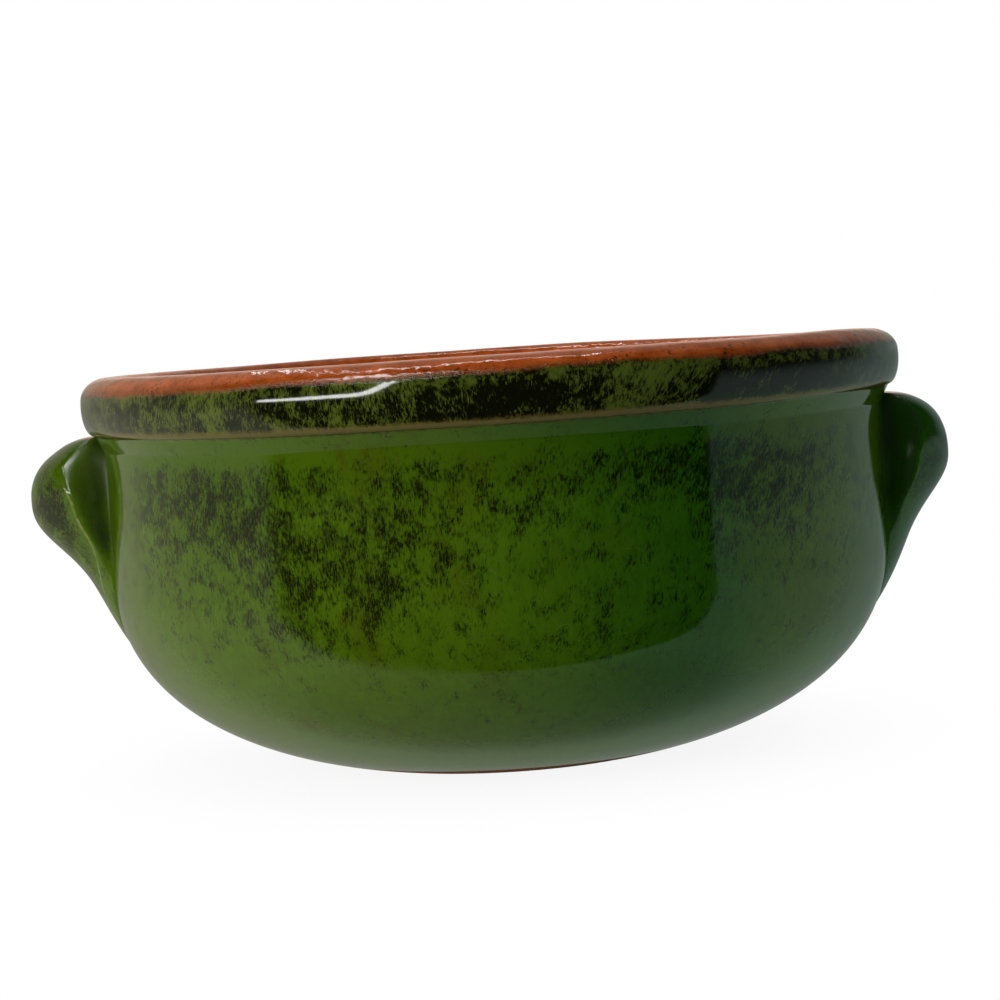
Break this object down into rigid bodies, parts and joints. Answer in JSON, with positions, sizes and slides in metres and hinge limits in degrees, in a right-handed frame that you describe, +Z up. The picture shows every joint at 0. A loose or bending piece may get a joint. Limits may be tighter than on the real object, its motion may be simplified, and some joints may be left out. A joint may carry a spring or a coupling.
{
  "type": "french onion soup crock",
  "caption": "Round glazed earthenware soup crock with a rolled collar rim and small lug handles, for baking and serving soup.",
  "frame": {"origin": "centre of the foot on the table, on the bowl's axis", "axes": "+Z up along the bowl's axis, +X towards the right handle, -Y towards the viewer of the picture"},
  "size_m": [0.1697, 0.15, 0.073],
  "materials": {
    "terracotta": "bare fired terracotta, matt",
    "green_glaze": "glossy green glaze with dark sponging",
    "amber_glaze": "glossy clear glaze over orange terracotta",
    "honey_glaze": "glossy honey-brown lining glaze"
  },
  "bodies": {
    "root": {"clay_bowl": "terracotta", "left_handle": "terracotta", "right_handle": "terracotta", "body_glaze": "green_glaze", "rim_glaze": "amber_glaze", "lining_glaze": "honey_glaze", "left_handle_glaze": "green_glaze", "right_handle_glaze": "green_glaze"}
  },
  "joints": []
}
